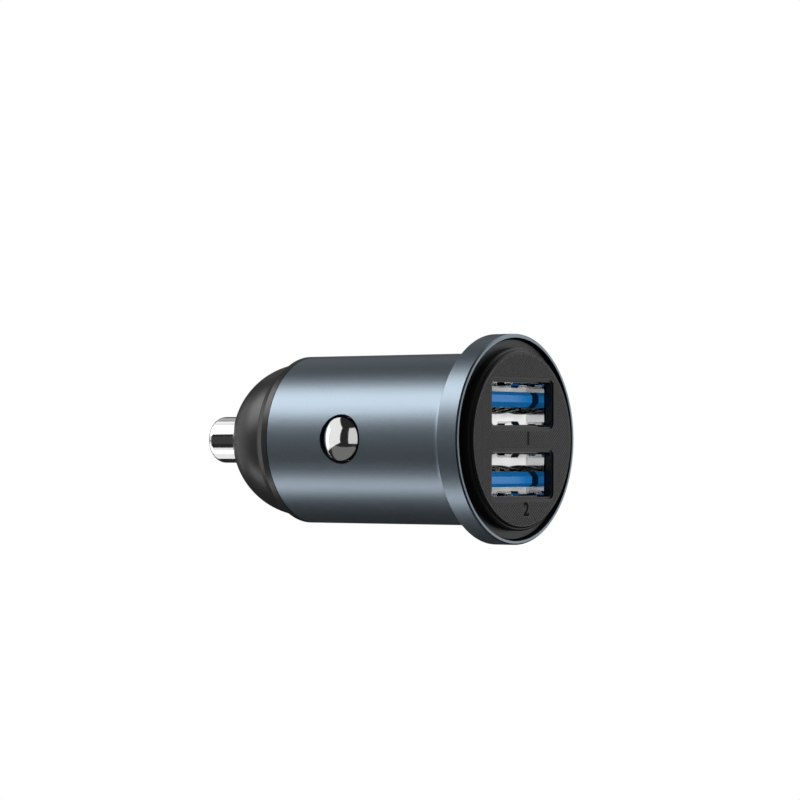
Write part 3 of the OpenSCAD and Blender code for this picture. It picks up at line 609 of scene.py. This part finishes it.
def stood_up(geometry, place):
    """Turned to a diamond, scaled, and stood up on the face: its Z to +X and its X to -Z."""
    diamond = add(field_tree, "GeometryNodeTransform", {"Geometry": geometry,
                                                        "Rotation": (0, 0, math.radians(-45))})
    return add(field_tree, "GeometryNodeTransform", {
        "Geometry": diamond.outputs[0], "Translation": place,
        "Rotation": (0, math.radians(90), 0), "Scale": cell_scale.outputs[0]})


upright = stood_up(grid.outputs["Mesh"], base_at.outputs[0])
roof = stood_up(based.outputs[0], (0, 0, 0))
print("a roof is sunk by", round(ROOF_SINK / MM, 3), "mm")

# %% [markdown]
# How much room a point has is its distance to the nearest edge: the rim of the disc, or the
# rounded border of either window. A point near a numeral stays empty as well.

# %% Room inside the rim and outside the windows
spot = add(field_tree, "GeometryNodeInputPosition")
flat_spot = add(field_tree, "ShaderNodeVectorMath", {0: spot.outputs[0], 1: (0, 1, 1)},
                operation="MULTIPLY")
from_axis = add(field_tree, "ShaderNodeVectorMath", {0: flat_spot.outputs[0]}, operation="LENGTH")
room = add(field_tree, "ShaderNodeMath", {0: dial["Disc radius"], 1: from_axis.outputs["Value"]},
           operation="SUBTRACT")
straight = []
for name in ("Window width", "Window height"):
    half = add(field_tree, "ShaderNodeMath", {0: dial[name], 1: 0.5}, operation="MULTIPLY")
    straight.append(add(field_tree, "ShaderNodeMath", {0: half.outputs[0], 1: dial["Window corner"]},
                        operation="SUBTRACT"))
inner_corner = add(field_tree, "ShaderNodeCombineXYZ", {"Y": straight[0].outputs[0],
                                                        "Z": straight[1].outputs[0]})
for sign in (1.0, -1.0):
    height = add(field_tree, "ShaderNodeMath", {0: dial["Window offset"], 1: sign},
                 operation="MULTIPLY")
    centre = add(field_tree, "ShaderNodeCombineXYZ", {"Z": height.outputs[0]})
    off_centre = add(field_tree, "ShaderNodeVectorMath", {0: flat_spot.outputs[0],
                                                          1: centre.outputs[0]},
                     operation="SUBTRACT")
    folded = add(field_tree, "ShaderNodeVectorMath", {0: off_centre.outputs[0]},
                 operation="ABSOLUTE")
    outside = add(field_tree, "ShaderNodeVectorMath", {0: folded.outputs[0],
                                                       1: inner_corner.outputs[0]},
                  operation="SUBTRACT")
    beyond = add(field_tree, "ShaderNodeVectorMath", {0: outside.outputs[0], 1: (0, 0, 0)},
                 operation="MAXIMUM")
    reached = add(field_tree, "ShaderNodeVectorMath", {0: beyond.outputs[0]}, operation="LENGTH")
    to_border = add(field_tree, "ShaderNodeMath", {0: reached.outputs["Value"],
                                                   1: dial["Window corner"]},
                    operation="SUBTRACT")
    room = add(field_tree, "ShaderNodeMath", {0: room.outputs[0], 1: to_border.outputs[0]},
               operation="MINIMUM")
roomy = add(field_tree, "ShaderNodeMath", {0: room.outputs[0], 1: dial["Edge clearance"]},
            operation="GREATER_THAN")
print(field_tree.name, "so far", len(field_tree.nodes), "nodes")

# %% Room beside the numerals
digits = add(field_tree, "GeometryNodeCollectionInfo", {"Collection": dial["Numerals"]})
solid_digits = add(field_tree, "GeometryNodeRealizeInstances", {"Geometry": digits.outputs[0]})
nearest = add(field_tree, "GeometryNodeProximity", {0: solid_digits.outputs[0]})
clear = add(field_tree, "ShaderNodeMath", {0: nearest.outputs["Distance"],
                                           1: dial["Numeral clearance"]},
            operation="GREATER_THAN")
kept = add(field_tree, "ShaderNodeMath", {0: roomy.outputs[0], 1: clear.outputs[0]},
           operation="MULTIPLY")
roofs = add(field_tree, "GeometryNodeInstanceOnPoints", {
    "Points": upright.outputs[0], "Selection": kept.outputs[0], "Instance": roof.outputs[0]})
end_tree(field_tree, roofs.outputs[0], face_abs)
print(field_tree.name, len(field_tree.nodes), "nodes")

# %% Set the roofs
diamonds = grow("diamond_field", field_tree, {
    "Diamond width": 0.5 * MM, "Diamond height": 0.445 * MM, "Relief": 0.062 * MM,
    "Ridge share": 0.8, "Disc radius": 10.44 * MM, "Window width": 13.3 * MM,
    "Window height": 5.92 * MM, "Window corner": 0.77 * MM, "Window offset": 4.22 * MM,
    "Floor": FIELD_FLOOR_X, "Edge clearance": 0.2 * MM, "Numerals": numerals,
    "Numeral clearance": 0.13 * MM})
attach(diamonds, "plug")
bpy.data.collections.remove(numerals)
reach_x = max(v.co.x for v in diamonds.data.vertices) - FIELD_FLOOR_X
print("roofs stand", round(reach_x / MM, 3), "mm proud of the disc")

# %% [markdown]
# ## The studio
# The plug is photographed in mid-air against pure white. Two long strip lights lie parallel to
# the barrel, one above and one below, so each draws one bright line along it. The room is
# dark, because bright metal only looks like metal when it reflects something bright next to
# something dark. Softer cards fill in the rest, and one lamp is there for the black face alone.

# %% A lamp
STUDIO_CENTRE = Vector((-12, 0, 0)) * MM
# A lamp further round than this towards the plug's ends can't lie along it.
END_ON = 0.8


def lamp(name, azimuth, elevation, distance, length, breadth, radiance, only=(), never=(),
         raised=0.0):
    """A rectangular lamp facing the plug, its length along the plug where that is possible.
    Angles are in degrees and lengths in metres. Radiance 1 makes its reflection white. It may
    light a few pieces only, or never some. Raised lifts it without turning it."""
    light = bpy.data.lights.new(name, "AREA")
    light.shape, light.size, light.size_y = "RECTANGLE", length, breadth
    light.energy = radiance * math.pi * length * breadth
    made = bpy.data.objects.new(name, light)
    direction = toward(azimuth, elevation)
    along = Vector((1, 0, 0))
    if abs(direction.x) > END_ON:
        along = Vector((0, 1, 0))
    side = (along - direction * along.dot(direction)).normalized()
    turn = Matrix((side, direction.cross(side), direction)).transposed().to_4x4()
    where = STUDIO_CENTRE + direction * distance + Vector((0, 0, raised))
    made.matrix_world = Matrix.Translation(where) @ turn
    made.visible_camera = False
    scene.collection.objects.link(made)
    if only or never:
        linked = bpy.data.collections.new(name + " linking")
        for piece in only or never:
            linked.objects.link(frame["nodes"].get(piece) or bpy.data.objects[piece])
        for entry in linked.collection_objects:
            entry.light_linking.link_state = "INCLUDE" if only else "EXCLUDE"
        made.light_linking.receiver_collection = linked
    return made


print("lamps face", [round(x / MM) for x in STUDIO_CENTRE], "mm")

# %% Main lamps
DOMES = ["left_side_contact", "right_side_contact"]
FACE = ["faceplate", "diamond_field", "numeral_one", "numeral_two"]
PIN, NOSE = ["centre_contact"], ["nose_cap"]
lamp("upper_strip", -51, 39.5, 0.5, 0.6, 0.30, 2.5, never=DOMES)
lamp("lower_strip", -60, -46, 0.26, 0.3, 0.055, 2.4, never=DOMES)
lamp("left_lamp", -90, 3, 0.6, 0.42, 0.42, 0.55)
lamp("front_top_lamp", 122, 22, 0.5, 0.2, 0.2, 2.2, only=FACE)
lamp("rear_lamp", 165, 45, 0.7, 0.6, 0.5, 0.8)
lamp("middle_card", -36, -2, 0.6, 0.8, 0.3, 0.11, never=DOMES + PIN)
lamp("back_card", -133, 38, 0.5, 0.3, 0.25, 0.2, never=DOMES)
print("main lamps:", len(bpy.data.lights))

# %% [markdown]
# Polished nickel mirrors its surroundings sharply, and a photographer sets small white cards
# beside it. Light linking keeps each card to its own pieces, so that the satin barrel beside
# them has its soft light as before. A lamp in front does the same for the sockets' insides.

# %% White cards, and lamps for the sockets
SOCKET_BODIES = ["upper_port_body", "lower_port_body"]
TONGUES = ["upper_port_tongue", "lower_port_tongue"]
lamp("dome_card_left", -73, 0, 0.3, 0.9, 0.5, 1.07, only=DOMES, raised=0.14)
lamp("dome_card_right", 31, 0, 0.3, 0.18, 0.34, 0.8, only=DOMES, raised=0.08)
lamp("dome_card_lower", -20, -52, 0.25, 0.5, 0.25, 0.18, only=DOMES)
lamp("pin_card_upper", -66, 43, 0.3, 0.5, 0.31, 1.1, only=PIN)
lamp("pin_card_back", -122, 44, 0.3, 0.3, 0.16, 0.3, only=PIN)
lamp("pin_card_lower", -74, -46, 0.26, 0.44, 0.24, 1.1, only=PIN)
lamp("pin_card_middle", -36, -2, 0.6, 0.8, 0.3, 0.035, only=PIN)
lamp("nose_card", -60, 40, 0.5, 0.3, 0.3, 1.2, only=NOSE)
lamp("body_lamp", 100, 2, 0.5, 0.24, 0.14, 60, only=SOCKET_BODIES)
lamp("tongue_lamp", 100, 2, 0.5, 0.24, 0.14, 12, only=TONGUES)
print("lamps in all:", len(bpy.data.lights))

# %% [markdown]
# ## White background, dark walls and floor
# The background is white to the camera, to metal and to glass, and what lights the plug from it
# is dimmer. Dark walls, which only reflections notice, stand between, and the black face
# mirrors the white through an opening in them. A pale floor lies well below.

# %% Background
FILL = 0.45
world = bpy.data.worlds.new("white background")
scene.world = world
world.cycles.sampling_method = "NONE"
world.use_nodes = True
world.node_tree.nodes.clear()
ray = add(world.node_tree, "ShaderNodeLightPath")
mirrored = add(world.node_tree, "ShaderNodeMath", {0: ray.outputs["Is Glossy Ray"],
                                                   1: ray.outputs["Is Transmission Ray"]},
               operation="MAXIMUM")
seen = add(world.node_tree, "ShaderNodeMath", {0: ray.outputs["Is Camera Ray"],
                                               1: mirrored.outputs[0]}, operation="MAXIMUM")
dim = add(world.node_tree, "ShaderNodeBackground", {"Color": srgb("#ffffff"), "Strength": FILL})
white = add(world.node_tree, "ShaderNodeBackground", {"Color": srgb("#ffffff"), "Strength": 1.0})
choice = add(world.node_tree, "ShaderNodeMixShader", {"Fac": seen.outputs[0],
                                                      1: dim.outputs[0], 2: white.outputs[0]})
add(world.node_tree, "ShaderNodeOutputWorld", {"Surface": choice.outputs[0]})
print("fill from the background:", FILL)

# %% Dark walls
WALL_DISTANCE = 1.5
OPENING_FROM, OPENING_TO, OPENING_RISE = 132, 168, 20
dark_wall = new_finish("dark studio wall", Roughness=0.9, Base_Color=srgb("#101214"),
                       Emission_Color=srgb("#ffffff"), Emission_Strength=0.02)[0]
STEP = 6
corners, panels = [], []
for azimuth in range(-180, 180, STEP):
    for elevation in range(-90, 90, STEP):
        inside = OPENING_FROM <= azimuth < OPENING_TO and abs(elevation + STEP / 2) < OPENING_RISE
        if inside:
            continue
        start = len(corners)
        for da, de in ((0, 0), (0, STEP), (STEP, STEP), (STEP, 0)):
            corners.append(STUDIO_CENTRE + toward(azimuth + da, elevation + de) * WALL_DISTANCE)
        panels.append(range(start, start + 4))
walls_mesh = bpy.data.meshes.new("dark_walls")
walls_mesh.from_pydata(corners, [], panels)
walls_mesh.materials.append(dark_wall)
dark_walls = bpy.data.objects.new("dark_walls", walls_mesh)
dark_walls.visible_camera = dark_walls.visible_diffuse = False
scene.collection.objects.link(dark_walls)
print("wall panels:", len(panels))

# %% Floor
FLOOR_Z, FLOOR_RADIUS, FLOOR_CORNERS = -280 * MM, 90 * MM, 96
PAPER_FIBRE = 2.5 * MM
pale_floor, tree, shader, place = new_finish("pale paper floor", Roughness=0.8)
fibre = add(tree, "ShaderNodeTexNoise", {"Vector": place, "Scale": 1 / PAPER_FIBRE, "Detail": 3.0})
paper = add(tree, "ShaderNodeMix", {"Factor": fibre.outputs["Fac"], "A": srgb("#dcdcda"),
                                    "B": srgb("#e6e6e4")}, data_type="RGBA")
tree.links.new(paper.outputs[2], shader.inputs["Base Color"])
sheet = bpy.data.meshes.new("floor")
floor_centre = Vector((STUDIO_CENTRE.x, 0, FLOOR_Z))
turns = [2 * math.pi * i / FLOOR_CORNERS for i in range(FLOOR_CORNERS)]
rim = [floor_centre + Vector((math.cos(a), math.sin(a), 0)) * FLOOR_RADIUS for a in turns]
sheet.from_pydata(rim, [], [range(FLOOR_CORNERS)])
sheet.materials.append(pale_floor)
floor = bpy.data.objects.new("floor", sheet)
scene.collection.objects.link(floor)
print("floor at Z", round(FLOOR_Z / MM), "mm")

# %% [markdown]
# ## The last step
# The scene is brought up to date.

# %% Update the scene
bpy.context.view_layer.update()
